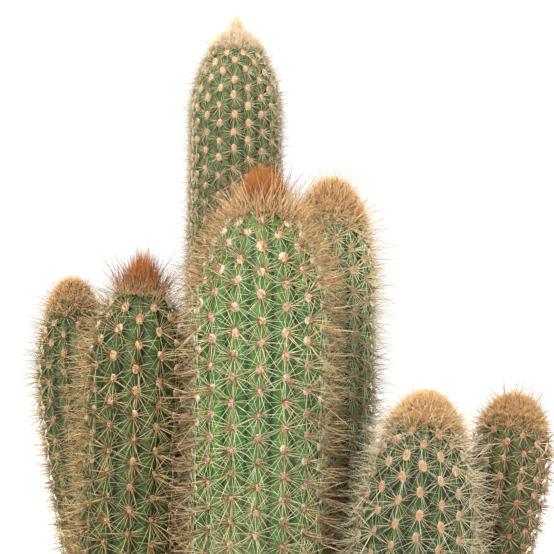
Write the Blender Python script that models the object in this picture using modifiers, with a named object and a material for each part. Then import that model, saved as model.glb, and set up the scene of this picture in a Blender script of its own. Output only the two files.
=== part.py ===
"""A potted clump of tall columnar cactus: pot, soil, seven ribbed stems and the spine crown on each.

Units are metres and +Z is up. The origin is the middle of the pot's underside, and the pot's axis is
the Z axis. Each stem is a shoot of its own, rooted in the soil; its crown is the cap of wool and young
spines on its growing tip.
"""

import math
from typing import NamedTuple

import bmesh
import bpy
from mathutils import Quaternion, Vector

OBJECT_NAME = "potted_tall_cactus"

# Clearance between pieces that touch
GAP = 0.0004

# Pot
POT_HEIGHT = 0.220
RIM_RADIUS = 0.134
RIM_BAND_HEIGHT = 0.036
RIM_STEP = 0.006
RIM_ROUNDING = 0.003
FOOT_RADIUS = 0.094
WALL = 0.009
FLOOR_THICKNESS = 0.012
DRAIN_RADIUS = 0.012
POT_STEPS = 64

# Soil
SOIL_TOP = 0.200
SOIL_CROWN = 0.003
SOIL_STEPS = 64

# Stems
BURIED = 0.018
DOME_RINGS = 5
BODY_RING_SPACING = 0.042
RIB_DEPTH = 0.11

# Crowns
CROWN_RINGS = 8
CROWN_TUFTS = 9
CROWN_TUFT_DEPTH = 0.16


class Stem(NamedTuple):
    """One ribbed shoot and the crown on it."""

    name: str
    ribs: int
    radius: float  # to the crests of the ribs
    tip: tuple  # the growing tip
    foot: tuple  # where the stem's axis passes the soil, as x and y
    bend: float  # 1 is a straight lean, 2 a curve that is strongest at the soil
    shoulder: float  # length of the rounded top
    crown_radius: float
    crown_height: float
    skin: tuple
    crown: tuple


STEMS = (
    Stem("main", 16, 0.0300, (-0.0115, -0.032, 0.4350), (-0.017, -0.031), 1.0, 0.036,
         0.0165, 0.018, (0.17, 0.30, 0.11), (0.45, 0.20, 0.08)),
    Stem("tall_back", 19, 0.0218, (-0.0265, 0.068, 0.5212), (-0.038, 0.062), 2.0, 0.031,
         0.0135, 0.013, (0.15, 0.25, 0.12), (0.72, 0.56, 0.38)),
    Stem("back_right", 15, 0.0201, (0.0227, 0.028, 0.4403), (0.021, 0.027), 1.0, 0.028,
         0.0160, 0.008, (0.20, 0.29, 0.14), (0.60, 0.40, 0.20)),
    Stem("left", 13, 0.0218, (-0.0688, -0.026, 0.3951), (-0.080, -0.025), 1.0, 0.028,
         0.0100, 0.020, (0.07, 0.14, 0.08), (0.25, 0.09, 0.03)),
    Stem("far_left", 13, 0.0169, (-0.1067, 0.014, 0.3931), (-0.077, 0.024), 2.0, 0.024,
         0.0120, 0.008, (0.11, 0.16, 0.07), (0.52, 0.30, 0.14)),
    Stem("right", 16, 0.0281, (0.0655, -0.038, 0.3429), (0.053, -0.037), 1.0, 0.048,
         0.0180, 0.010, (0.07, 0.15, 0.06), (0.60, 0.36, 0.16)),
    Stem("far_right", 13, 0.0162, (0.1113, 0.002, 0.3372), (0.076, 0.013), 2.0, 0.024,
         0.0140, 0.010, (0.08, 0.12, 0.05), (0.46, 0.28, 0.12)),
)

CLAY = (0.46, 0.19, 0.10)
EARTH = (0.06, 0.04, 0.03)


def clear_scene():
    """Remove every object, so that the script can be run again in an open file."""
    for scene_object in list(bpy.data.objects):
        bpy.data.objects.remove(scene_object, do_unlink=True)


def new_collection(name):
    collection = bpy.data.collections.new(name)
    bpy.context.scene.collection.children.link(collection)
    return collection


def material(name, color, roughness):
    made = bpy.data.materials.new(name)
    made.use_nodes = True
    shader = made.node_tree.nodes["Principled BSDF"]
    shader.inputs["Base Color"].default_value = (*color, 1.0)
    shader.inputs["Roughness"].default_value = roughness
    shader.inputs["Metallic"].default_value = 0.0
    return made


def add_object(name, mesh, collection, finish=None):
    made = bpy.data.objects.new(name, mesh)
    collection.objects.link(made)
    if finish is not None:
        mesh.materials.append(finish)
    return made


def shade(mesh):
    mesh.shade_smooth()
    mesh.set_sharp_from_angle(angle=math.radians(40))


# Turned pieces


def outline_object(name, points, closed, collection, finish):
    """An object of edges only, in the XZ plane, for the Screw modifier to turn."""
    mesh = bpy.data.meshes.new(name)
    edges = [(index, index + 1) for index in range(len(points) - 1)]
    if closed:
        edges.append((len(points) - 1, 0))
    mesh.from_pydata([(radius, 0.0, height) for radius, height in points], edges, [])
    return add_object(name, mesh, collection, finish)


def turn(turned, steps):
    screw = turned.modifiers.new("turn", "SCREW")
    screw.axis = "Z"
    screw.angle = math.tau
    screw.steps = steps
    screw.render_steps = steps
    screw.use_merge_vertices = True
    screw.merge_threshold = 0.00001
    screw.use_smooth_shade = True


def pot_outer_radius(height):
    """Radius of the pot's body below its rim band, which tapers towards the foot."""
    band_foot = POT_HEIGHT - RIM_BAND_HEIGHT
    body_top = RIM_RADIUS - RIM_STEP
    return FOOT_RADIUS + (body_top - FOOT_RADIUS) * min(height / band_foot, 1.0)


def pot_inner_radius(height):
    return pot_outer_radius(height) - WALL


def make_pot(collection):
    """The pot: a tapered wall, a thicker rim band, a flat floor and one drain hole."""
    band_foot = POT_HEIGHT - RIM_BAND_HEIGHT
    outline = [
        (RIM_RADIUS - RIM_ROUNDING, POT_HEIGHT),
        (RIM_RADIUS, POT_HEIGHT - RIM_ROUNDING),
        (RIM_RADIUS, band_foot + RIM_ROUNDING),
        (RIM_RADIUS - RIM_ROUNDING, band_foot),
        (pot_outer_radius(band_foot), band_foot - RIM_ROUNDING / 2),
        (pot_outer_radius(RIM_ROUNDING), RIM_ROUNDING),
        (pot_outer_radius(0.0) - RIM_ROUNDING, 0.0),
        (DRAIN_RADIUS, 0.0),
        (DRAIN_RADIUS, FLOOR_THICKNESS),
        (pot_inner_radius(FLOOR_THICKNESS), FLOOR_THICKNESS),
        (pot_inner_radius(band_foot), band_foot),
        (pot_inner_radius(band_foot), POT_HEIGHT - RIM_ROUNDING),
        (pot_inner_radius(band_foot) + RIM_ROUNDING, POT_HEIGHT),
    ]
    pot = outline_object("pot", outline, True, collection, material("clay", CLAY, 0.85))
    turn(pot, POT_STEPS)


def make_soil(collection, sockets):
    """The soil: it fills the pot up to a slight mound and holds each stem in a socket."""
    bottom = FLOOR_THICKNESS + GAP
    band_foot = POT_HEIGHT - RIM_BAND_HEIGHT
    edge = pot_inner_radius(band_foot) - GAP
    outline = [
        (0.0, SOIL_TOP + SOIL_CROWN),
        (edge * 0.5, SOIL_TOP + SOIL_CROWN * 0.75),
        (edge, SOIL_TOP),
        (edge, band_foot),
        (pot_inner_radius(bottom) - GAP, bottom),
        (0.0, bottom),
    ]
    soil = outline_object("soil", outline, False, collection, material("earth", EARTH, 0.95))
    turn(soil, SOIL_STEPS)
    for socket in sockets:
        cut(soil, socket)


def cut(body, cutter):
    difference = body.modifiers.new("cut " + cutter.name, "BOOLEAN")
    difference.operation = "DIFFERENCE"
    difference.solver = "EXACT"
    difference.object = cutter


# Stems and crowns


def axis_point(stem, height):
    """The point of the stem's axis at a height, from its foot in the soil to its tip."""
    below_tip = (stem.tip[2] - height) / (stem.tip[2] - SOIL_TOP)
    if below_tip <= 0.0:
        drift = 0.0
    elif below_tip <= 1.0:
        drift = below_tip ** stem.bend
    else:
        drift = 1.0 + stem.bend * (below_tip - 1.0)
    x = stem.tip[0] + (stem.foot[0] - stem.tip[0]) * drift
    y = stem.tip[1] + (stem.foot[1] - stem.tip[1]) * drift
    return Vector((x, y, height))


def axis_turn(stem, height):
    """The turn that takes an upright ring to one square to the stem's axis."""
    step = 0.002
    along = axis_point(stem, height + step / 2) - axis_point(stem, height - step / 2)
    return Vector((0.0, 0.0, 1.0)).rotation_difference(along)


def stem_rings(stem, swell):
    """Each ring of the stem from tip to foot, as its height, its radius and the depth of its ribs.

    swell makes the whole stem larger by that much, for the clearance around it.
    """
    top = stem.tip[2] + swell
    foot = SOIL_TOP - BURIED - swell
    radius = stem.radius + swell
    rings = []
    for index in range(DOME_RINGS + 1):
        angle = index / DOME_RINGS * math.pi / 2
        height = top - stem.shoulder * (1.0 - math.cos(angle))
        rings.append((height, radius * math.sin(angle), RIB_DEPTH * math.sin(angle)))
    shoulder_foot = top - stem.shoulder
    spans = math.ceil((shoulder_foot - foot) / BODY_RING_SPACING)
    for index in range(1, spans + 1):
        height = shoulder_foot + (foot - shoulder_foot) * index / spans
        rings.append((height, radius, RIB_DEPTH))
    rings.append((foot, 0.0, 0.0))
    return rings


def drawn_sphere(name, lobes, rings):
    """A closed mesh, drawn out of a sphere that has two segments a lobe.

    rings gives, from the top pole to the bottom one, each ring's centre, turn, radius and how deep the
    grooves between the lobes are there, as a share of the radius. Every four-sided face is split along
    the same diagonal, so that a stem and its clearance have parallel faces.
    """
    shape = bmesh.new()
    last = len(rings) - 1
    bmesh.ops.create_uvsphere(shape, u_segments=2 * lobes, v_segments=last, radius=1.0)
    for vertex in shape.verts:
        polar = math.acos(max(-1.0, min(1.0, vertex.co.z)))
        centre, ring_turn, radius, groove = rings[round(polar / math.pi * last)]
        around = math.atan2(vertex.co.y, vertex.co.x)
        if round(around / (math.pi / lobes)) % 2:
            radius *= 1.0 - groove
        reach = Vector((radius * math.cos(around), radius * math.sin(around), 0.0))
        vertex.co = centre + ring_turn @ reach
    bmesh.ops.triangulate(shape, faces=shape.faces[:], quad_method="FIXED")
    mesh = bpy.data.meshes.new(name)
    shape.to_mesh(mesh)
    shape.free()
    shade(mesh)
    return mesh


def stem_mesh(name, stem, swell):
    rings = [
        (axis_point(stem, height), axis_turn(stem, height), radius, groove)
        for height, radius, groove in stem_rings(stem, swell)
    ]
    return drawn_sphere(name, stem.ribs, rings)


def crown_mesh(name, stem):
    """A tufted dome round the stem's tip, whose lower half the stem then cuts away."""
    centre = Vector(stem.tip)
    rings = []
    for index in range(CROWN_RINGS + 1):
        angle = index / CROWN_RINGS * math.pi
        rise = stem.crown_height if angle < math.pi / 2 else stem.shoulder * 0.6
        ring_centre = centre + Vector((0.0, 0.0, rise * math.cos(angle)))
        radius = stem.crown_radius * math.sin(angle)
        rings.append((ring_centre, Quaternion(), radius, CROWN_TUFT_DEPTH))
    return drawn_sphere(name, CROWN_TUFTS, rings)


def make_clearance(stem, collection):
    """The stem's shape with its clearance round it, which cuts its socket and its crown's underside."""
    name = stem.name + "_clearance"
    cutter = add_object(name, stem_mesh(name, stem, GAP), collection)
    cutter.hide_render = True
    cutter.display_type = "WIRE"
    return cutter


def make_stem(stem, collection, cutter):
    name = "stem_" + stem.name
    add_object(name, stem_mesh(name, stem, 0.0), collection, material(name, stem.skin, 0.45))
    name = "crown_" + stem.name
    crown = add_object(name, crown_mesh(name, stem), collection, material(name, stem.crown, 0.8))
    cut(crown, cutter)


def main():
    clear_scene()
    parts = new_collection(OBJECT_NAME)
    cutters = new_collection(OBJECT_NAME + "_cutters")
    sockets = [make_clearance(stem, cutters) for stem in STEMS]
    make_pot(parts)
    make_soil(parts, sockets)
    for stem, cutter in zip(STEMS, sockets):
        make_stem(stem, parts, cutter)


main()
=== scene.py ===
"""The looks of a potted clump of tall columnar cactus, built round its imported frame.

Seven ribbed stems stand in gritty soil in a clay pot. Every stem is grown from its own frame solid: the
solid gives the axis and the thickness, and Geometry Nodes draw out the ribbed skin, the woolly areoles,
their spines and the crown on the growing tip. Units are metres and +Z is up.
"""

import logging
import math
from collections.abc import Sequence
from dataclasses import dataclass
from enum import Enum
from typing import Any, ClassVar

import bpy
import numpy
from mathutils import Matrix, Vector


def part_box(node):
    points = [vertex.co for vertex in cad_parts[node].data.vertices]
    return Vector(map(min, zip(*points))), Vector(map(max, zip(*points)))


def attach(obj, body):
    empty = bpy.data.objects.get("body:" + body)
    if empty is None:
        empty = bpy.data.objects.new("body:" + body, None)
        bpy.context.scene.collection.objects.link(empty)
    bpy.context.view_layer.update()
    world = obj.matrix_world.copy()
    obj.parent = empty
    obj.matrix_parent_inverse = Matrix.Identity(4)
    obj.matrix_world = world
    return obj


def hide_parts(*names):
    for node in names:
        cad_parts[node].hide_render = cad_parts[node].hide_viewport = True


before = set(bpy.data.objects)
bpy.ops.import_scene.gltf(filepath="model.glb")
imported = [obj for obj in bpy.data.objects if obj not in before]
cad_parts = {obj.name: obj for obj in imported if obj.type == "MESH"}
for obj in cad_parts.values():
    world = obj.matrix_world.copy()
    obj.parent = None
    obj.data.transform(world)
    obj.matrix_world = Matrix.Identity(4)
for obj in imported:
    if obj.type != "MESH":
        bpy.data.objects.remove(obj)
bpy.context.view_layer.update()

ROOT = "root"
SPINE_UV = "OFBake"
GOLDEN_ANGLE = math.pi * (3.0 - math.sqrt(5.0))
MM = 0.001
WHITE = (1.0, 1.0, 1.0, 1.0)

# The inputs that shape a stem, and those that place its areoles too
STEM_FLOATS = ("Radius", "Shoulder", "Taper")
AREOLE_FLOATS = (*STEM_FLOATS, "Pitch", "First", "Turn")
AREOLE_INTS = ("Ribs", "Rows", "Seed")

# A distance from the tip that no stem reaches
WHOLE_STEM = 1.0

# How broad the ribs' crests are: less than 1 makes them broader than the grooves
CREST_ROUNDING = 0.55

# How many swellings a stem has to a metre, and where the areoles' bumps are full, in shoulders from the tip
SWELLING_SCALE = 22.0
BUMPS_FROM = 0.5

# The least width of a stem at its tip, as a share, and the least that its slope there is worked out from
SHARP_TIP = 0.0001
BLUNT_TIP = 0.08

# How far an areole strays down its rib, in rows, and across it, in ribs
ROW_DRIFT = 0.09
RIB_SWAY = 0.05

# How deep in an areole's wool its spines start, as a share of the wool's height
WOOL_SEAT = 0.35

# How the width of a finish's map is shared out, by tone and then by side, inside a margin
TONE_SPAN = 0.94
SIDE_SPAN = 0.05
MAP_MARGIN = 0.005

# The largest share of an edge that the rounding of one corner takes up
LARGEST_ROUNDING = 0.45

log = logging.getLogger("potted_cactus")

Color = tuple[int, int, int]


# Node trees


class Field:
    """A number or a vector inside a node tree, which the usual operators combine."""

    def __init__(self, graph: "Graph", socket: bpy.types.NodeSocket) -> None:
        """Keep the tree that the value belongs to and the socket that gives it."""
        self.graph = graph
        self.socket = socket

    def __add__(self, other: Any) -> "Field":
        """Sum of two numbers."""
        return self.graph.math("ADD", self, other)

    def __sub__(self, other: Any) -> "Field":
        """Difference of two numbers."""
        return self.graph.math("SUBTRACT", self, other)

    def __rsub__(self, other: Any) -> "Field":
        """Difference of a plain number and this one."""
        return self.graph.math("SUBTRACT", other, self)

    def __mul__(self, other: Any) -> "Field":
        """Product of two numbers."""
        return self.graph.math("MULTIPLY", self, other)

    def __truediv__(self, other: Any) -> "Field":
        """Quotient of two numbers."""
        return self.graph.math("DIVIDE", self, other)

    __radd__ = __add__
    __rmul__ = __mul__


class Graph:
    """Fills one node tree, a node at a time."""

    def __init__(self, tree: bpy.types.NodeTree) -> None:
        """Keep the tree to fill."""
        self.tree = tree

    def node(self, kind: str, settings: dict | None = None, feeds: dict | None = None) -> bpy.types.Node:
        """Add a node.

        Args:
            kind: The node's type.
            settings: Its own properties.
            feeds: What goes into its inputs, by input name or place.

        Returns:
            The new node.
        """
        made = self.tree.nodes.new(kind)
        for name, value in (settings or {}).items():
            setattr(made, name, value)
        for key, value in (feeds or {}).items():
            self.feed(made.inputs[key], value)
        return made

    def feed(self, socket: bpy.types.NodeSocket, value: Any) -> None:
        """Give an input its value.

        Args:
            socket: The input.
            value: A field or a socket to link to it, or a plain value to set it to.
        """
        if isinstance(value, Field):
            value = value.socket
        if isinstance(value, bpy.types.NodeSocket):
            self.tree.links.new(value, socket)
        else:
            socket.default_value = value

    def get(self, kind: str, settings: dict | None = None, feeds: dict | None = None,
            output: str | int = 0) -> Field:
        """Add a node and give one of its outputs.

        Args:
            kind: The node's type.
            settings: Its own properties.
            feeds: What goes into its inputs.
            output: The output's name or place.

        Returns:
            That output.
        """
        return Field(self, self.node(kind, settings, feeds).outputs[output])

    def math(self, operation: str, *values: Any) -> Field:
        """A Math node of one to three numbers."""
        return self.get("ShaderNodeMath", {"operation": operation}, dict(enumerate(values)))

    def vector(self, operation: str, *values: Any) -> Field:
        """A Vector Math node of one to three vectors."""
        return self.get("ShaderNodeVectorMath", {"operation": operation}, dict(enumerate(values)))

    def scaled(self, vector: Any, factor: Any) -> Field:
        """A vector times a number."""
        return self.get("ShaderNodeVectorMath", {"operation": "SCALE"}, {0: vector, "Scale": factor})

    def xyz(self, x: Any, y: Any, z: Any) -> Field:
        """A vector from three numbers."""
        return self.get("ShaderNodeCombineXYZ", None, {0: x, 1: y, 2: z})

    def part(self, vector: Any, axis: str) -> Field:
        """The X, Y or Z of a vector."""
        return self.get("ShaderNodeSeparateXYZ", None, {0: vector}, axis)

    def ramp(self, factor: Any, low: Any, high: Any, to_low: Any = 0.0, to_high: Any = 1.0,
             kind: str = "SMOOTHSTEP") -> Field:
        """A number taken smoothly from one range to another, and held at the ends."""
        return self.get("ShaderNodeMapRange", {"interpolation_type": kind},
                        {0: factor, 1: low, 2: high, 3: to_low, 4: to_high})

    def mix(self, factor: Any, low: Any, high: Any, blend: str = "MIX") -> Field:
        """Two colours mixed by a factor."""
        settings = {"data_type": "RGBA", "blend_type": blend, "clamp_factor": True}
        return self.get("ShaderNodeMix", settings, {0: factor, 6: low, 7: high}, 2)

    def length(self, vector: Any) -> Field:
        """The length of a vector."""
        return self.get("ShaderNodeVectorMath", {"operation": "LENGTH"}, {0: vector}, "Value")

    def noise(self, scale: float, detail: float = 3.0, roughness: float = 0.5, vector: Any = None) -> Field:
        """A noise value from 0 to 1.

        Args:
            scale: How many lumps there are to a unit of the vector.
            detail: The number of finer layers.
            roughness: How much the finer layers weigh.
            vector: The place it is taken at, or nothing for the tree's own place.

        Returns:
            The value.
        """
        feeds = {"Scale": scale, "Detail": detail, "Roughness": roughness}
        if vector is not None:
            feeds["Vector"] = vector
        return self.get("ShaderNodeTexNoise", None, feeds, 0)


class GroupGraph(Graph):
    """A node group with named inputs and outputs."""

    def __init__(self, name: str, kind: str, inputs: dict[str, str], outputs: dict[str, str]) -> None:
        """Make the group.

        Args:
            name: The group's name.
            kind: The type of its tree.
            inputs: Each input's name and the kind of its socket.
            outputs: The same for its outputs.
        """
        super().__init__(bpy.data.node_groups.new(name, kind))
        for direction, sockets in (("INPUT", inputs), ("OUTPUT", outputs)):
            for label, socket in sockets.items():
                self.tree.interface.new_socket(name=label, in_out=direction,
                                               socket_type="NodeSocket" + socket)
        self.source = self.tree.nodes.new("NodeGroupInput")
        self.sink = self.tree.nodes.new("NodeGroupOutput")

    def __getitem__(self, name: str) -> Field:
        """One of the group's own inputs."""
        return Field(self, self.source.outputs[name])

    def output(self, name: str, value: Any) -> None:
        """Give one of the group's own outputs its value."""
        self.feed(self.sink.inputs[name], value)


class GrowthTree(GroupGraph):
    """A Geometry Nodes tree."""

    def __init__(self, name: str, inputs: dict[str, str], outputs: dict[str, str]) -> None:
        """Make the tree.

        Args:
            name: Its name.
            inputs: Each input's name and the kind of its socket.
            outputs: The same for its outputs.
        """
        super().__init__(name, "GeometryNodeTree", inputs, outputs)

    @classmethod
    def of(cls, name: str, floats: Sequence[str], ints: Sequence[str] = ()) -> "GrowthTree":
        """Make a tree that takes a Geometry and a Material and gives a Geometry.

        Args:
            name: Its name.
            floats: The names of its other inputs that are numbers.
            ints: The names of those that are whole numbers.

        Returns:
            The tree.
        """
        numbers = {**dict.fromkeys(floats, "Float"), **dict.fromkeys(ints, "Int")}
        return cls(name, {"Geometry": "Geometry", **numbers, "Material": "Material"},
                   {"Geometry": "Geometry"})

    def random(self, low: Any, high: Any, key: Any, seed: Any) -> Field:
        """A random number for each value of key."""
        return self.get("FunctionNodeRandomValue", {"data_type": "FLOAT"},
                        {2: low, 3: high, 7: key, 8: seed}, 1)

    def random_vector(self, low: Any, high: Any, key: Any, seed: Any) -> Field:
        """A random vector for each value of key."""
        return self.get("FunctionNodeRandomValue", {"data_type": "FLOAT_VECTOR"},
                        {0: low, 1: high, 7: key, 8: seed})

    def rounding(self, distance: Any, shoulder: Any, taper: Any) -> tuple[Field, Field]:
        """How wide a stem is at a distance from its tip.

        Args:
            distance: The distance, down the axis.
            shoulder: The distance at which the full width is reached.
            taper: 2 for a round top, and less for one that is drawn to a point.

        Returns:
            The share of the full width, and how fast it grows over the shoulder.
        """
        left = 1.0 - self.ramp(distance / shoulder, 0.0, 1.0, kind="LINEAR")
        share = self.math("SQRT", self.math("MAXIMUM", 1.0 - self.math("POWER", left, taper), SHARP_TIP))
        growth = self.math("POWER", left, taper - 1.0) * taper * 0.5
        growth = growth / self.math("MAXIMUM", share, BLUNT_TIP)
        return share, growth

    def whole(self, number: Field) -> Field:
        """A number rounded down."""
        return self.math("FLOOR", number)

    def stored(self, geometry: Any, name: str, value: Any, kind: str = "FLOAT",
               domain: str = "POINT") -> Field:
        """Geometry with a named attribute on it."""
        return self.get("GeometryNodeStoreNamedAttribute", {"data_type": kind, "domain": domain},
                        {"Geometry": geometry, "Name": name, "Value": value})

    def named(self, name: str) -> Field:
        """The value of a named attribute."""
        return self.get("GeometryNodeInputNamedAttribute", {"data_type": "FLOAT"}, {"Name": name})

    def index(self) -> Field:
        """Each element's own number."""
        return self.get("GeometryNodeInputIndex")

    def position(self) -> Field:
        """Each point's own place."""
        return self.get("GeometryNodeInputPosition")

    def axis(self) -> Field:
        """The tree's Geometry input, a chain of edges, as a curve."""
        return self.get("GeometryNodeMeshToCurve", None, {"Mesh": self["Geometry"]})

    def moved(self, geometry: Any, offset: Any) -> Field:
        """Geometry with its points shifted."""
        return self.get("GeometryNodeSetPosition", None, {"Geometry": geometry, "Offset": offset})

    def turned(self, rotation: Any, x: Any, y: Any, z: Any) -> Field:
        """A rotation turned further round its own axes."""
        return self.get("FunctionNodeRotateRotation", {"rotation_space": "LOCAL"},
                        {"Rotation": rotation, "Rotate By": self.xyz(x, y, z)})

    def points(self, count: Any, position: Any) -> Field:
        """Points at given places."""
        return self.get("GeometryNodePoints", None, {"Count": count, "Position": position})

    def planted(self, points: Any, shape: Any, rotation: Any, scale: Any) -> Field:
        """A shape set on every point."""
        return self.get("GeometryNodeInstanceOnPoints", None,
                        {"Points": points, "Instance": shape, "Rotation": rotation, "Scale": scale})

    def sided(self, shape: Any, along: Any) -> Field:
        """A shape that carries length, which is given, and side, 0 or 1."""
        shape = self.stored(shape, "length", along)
        return self.stored(shape, "side", self.math("GREATER_THAN", self.part(self.position(), "X"), 0.0))

    def stem_point(self, tree: bpy.types.NodeTree, distance: Any, angle: Any) -> bpy.types.Node:
        """The point of a stem's surface at a distance from its tip and an angle round its axis."""
        return self.node("GeometryNodeGroup", {"node_tree": tree}, {
            "Curve": self.axis(), "Distance": distance, "Angle": angle, "Radius": self["Radius"],
            "Shoulder": self["Shoulder"], "Taper": self["Taper"]})

    def finished(self, geometry: Any, smooth: bool = True) -> None:
        """Realize the geometry, give it the tree's Material input and put it out.

        Args:
            geometry: The geometry.
            smooth: Whether its faces are shaded smooth.
        """
        real = self.get("GeometryNodeRealizeInstances", None, {"Geometry": geometry})
        shaded = self.get("GeometryNodeSetShadeSmooth", None, {0: real, "Shade Smooth": smooth})
        self.output("Geometry", self.get("GeometryNodeSetMaterial", None,
                                         {"Geometry": shaded, "Material": self["Material"]}))


def grown(name: str, tree: bpy.types.NodeTree, values: dict[str, Any],
          guide: bpy.types.Mesh) -> bpy.types.Object:
    """Run a growth tree on a guide mesh and keep the result as a plain mesh object.

    Args:
        name: The new object's name.
        tree: The Geometry Nodes tree.
        values: The value of each of the tree's inputs, by name.
        guide: The mesh that goes into the tree.

    Returns:
        The finished object, with no modifier left on it.
    """
    piece = bpy.data.objects.new(name, guide)
    bpy.context.scene.collection.objects.link(piece)
    growth = piece.modifiers.new("growth", "NODES")
    growth.node_group = tree
    sockets = {item.name: item.identifier for item in tree.interface.items_tree if item.in_out == "INPUT"}
    for label, value in values.items():
        growth[sockets[label]] = value
    evaluated = piece.evaluated_get(bpy.context.evaluated_depsgraph_get())
    mesh = bpy.data.meshes.new_from_object(evaluated)
    mesh.name = name
    for slot in reversed(range(len(mesh.materials))):
        if mesh.materials[slot] is None:
            mesh.materials.pop(index=slot)
    piece.modifiers.clear()
    piece.data = mesh
    return piece


def place(piece: bpy.types.Object, slot: str, *replaced: str) -> None:
    """Set a finished piece on the root body and report it.

    Args:
        piece: The piece.
        slot: Not used.
        replaced: The frame nodes that it stands for.
    """
    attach(piece, ROOT)
    if replaced:
        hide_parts(*replaced)
    faces = sum(len(face.vertices) - 2 for face in piece.data.polygons)
    log.info("%s: %d triangles", piece.name, faces)


# The trees that grow a stem


def point_on_stem_tree() -> bpy.types.NodeTree:
    """The group that finds a point of a stem's surface.

    Its distance is measured down the axis from the tip, and its angle round the axis.

    Returns:
        The group. Turn has its Z pointing out of the skin and its X down the stem.
    """
    graph = GrowthTree(
        "Point On Stem",
        {"Curve": "Geometry", "Distance": "Float", "Angle": "Float", "Radius": "Float", "Shoulder": "Float",
         "Taper": "Float"},
        {"Position": "Vector", "Turn": "Rotation", "Outward": "Vector", "Down": "Vector"},
    )
    radius = graph["Radius"]
    shoulder = graph["Shoulder"]
    angle = graph["Angle"]
    rise, growth = graph.rounding(graph["Distance"], shoulder, graph["Taper"])
    slope = radius / shoulder * growth
    sample = graph.node("GeometryNodeSampleCurve", {"mode": "LENGTH"},
                        {"Curves": graph["Curve"], "Length": graph["Distance"]})
    down = sample.outputs["Tangent"]
    ahead = sample.outputs["Normal"]
    side = graph.vector("CROSS_PRODUCT", down, ahead)
    radial = graph.vector("ADD", graph.scaled(ahead, graph.math("COSINE", angle)),
                          graph.scaled(side, graph.math("SINE", angle)))
    position = graph.vector("ADD", sample.outputs["Position"], graph.scaled(radial, radius * rise))
    outward = graph.vector("NORMALIZE", graph.vector("SUBTRACT", radial, graph.scaled(down, slope)))
    turn = graph.get("FunctionNodeAxesToRotation", {"primary_axis": "Z", "secondary_axis": "X"},
                     {"Primary Axis": outward, "Secondary Axis": down})
    graph.output("Position", position)
    graph.output("Turn", turn)
    graph.output("Outward", outward)
    graph.output("Down", down)
    return graph.tree


def ribbed_skin_tree() -> bpy.types.NodeTree:
    """The tree that draws the ribbed skin of a stem along its axis, tip first.

    Returns:
        The tree, which stops at Stop from the tip. Its mesh carries rib, 0 in the grooves and 1 on the
        crests, and along, the distance from the tip.
    """
    graph = GrowthTree.of("Ribbed Skin",
                          (*STEM_FLOATS, "Pitch", "First", "Turn", "Rib Depth", "Tubercle", "Unevenness",
                           "Stop"),
                          ("Ribs", "Points Per Rib"))
    radius = graph["Radius"]
    ribs = graph["Ribs"]
    axis = graph.get("GeometryNodeTrimCurve", {"mode": "LENGTH"},
                     {0: graph.axis(), 4: 0.0, 5: graph["Stop"]})
    length = graph.get("GeometryNodeSplineParameter", output="Length")
    rise, _ = graph.rounding(length, graph["Shoulder"], graph["Taper"])
    swell = graph.noise(SWELLING_SCALE, detail=2.0, vector=graph.xyz(0.0, 0.0, length))
    swell = 1.0 + graph["Unevenness"] * (swell - 0.5)
    axis = graph.stored(axis, "along", length)
    turns = graph.index() / graph["Points Per Rib"]
    crest = graph.math("ABSOLUTE", graph.math("SINE", graph.math("FRACT", turns) * math.pi))
    crest = graph.math("POWER", crest, CREST_ROUNDING)
    reach = 1.0 - graph["Rib Depth"] * (1.0 - crest)
    section = graph.get("GeometryNodeCurvePrimitiveCircle", None,
                        {"Resolution": ribs * graph["Points Per Rib"], "Radius": 1.0})
    angle = turns / ribs * math.tau + graph["Turn"]
    section = graph.get("GeometryNodeSetPosition", None, {
        "Geometry": section,
        "Position": graph.xyz(reach * graph.math("SINE", angle) * -1.0, reach * graph.math("COSINE", angle),
                              0.0),
    })
    section = graph.stored(section, "rib", crest)
    section = graph.stored(section, "rib_number", graph.whole(turns))
    skin = graph.get("GeometryNodeCurveToMesh", None,
                     {"Curve": axis, "Profile Curve": section, "Scale": radius * rise * swell,
                      "Fill Caps": True})
    row = (graph.named("along") - graph["First"]) / graph["Pitch"]
    row = row - graph.math("MODULO", graph.named("rib_number"), 2.0) * 0.5
    bulge = graph.math("COSINE", row * math.tau) * graph.named("rib") * graph["Tubercle"]
    bulge = bulge * graph.ramp(graph.named("along"), 0.0, graph["Shoulder"] * BUMPS_FROM)
    graph.finished(graph.moved(skin, graph.scaled(graph.get("GeometryNodeInputNormal"), bulge)))
    return graph.tree


def spine_shape(graph: GrowthTree) -> Field:
    """One spine standing on its root: a slender bent cone, one unit high and one in radius.

    Args:
        graph: The tree that it is made in, whose inputs give its Sides, its Segments and the Bend that
            takes its tip off the root's axis.

    Returns:
        The spine, which carries length, 0 at the root and 1 at the tip, and side, 0 or 1.
    """
    cone = graph.get("GeometryNodeMeshCone", {"fill_type": "NGON"}, {
        "Vertices": graph["Sides"], "Side Segments": graph["Segments"], "Radius Top": 0.0,
        "Radius Bottom": 1.0, "Depth": 1.0})
    height = graph.part(graph.position(), "Z")
    return graph.moved(graph.sided(cone, height), graph.xyz(height * height * graph["Bend"], 0.0, 0.0))


def toned(graph: GrowthTree, instances: Any, tone: Any) -> Field:
    """Realize instances and lay their finish out: U is the tone of each one, V runs along it.

    Args:
        graph: The tree.
        instances: The instances, whose shapes carry length and side.
        tone: The tone of each, from 0 to 1.

    Returns:
        The realized geometry with its map.
    """
    held = graph.math("MINIMUM", graph.math("MAXIMUM", tone, 0.0), 1.0)
    kept = graph.stored(instances, "tone", held, domain="INSTANCE")
    real = graph.get("GeometryNodeRealizeInstances", None, {"Geometry": kept})
    across = graph.named("tone") * TONE_SPAN + graph.named("side") * SIDE_SPAN + MAP_MARGIN
    chart = graph.xyz(across, graph.named("length"), 0.0)
    return graph.stored(real, SPINE_UV, chart, "FLOAT2", "CORNER")


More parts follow.
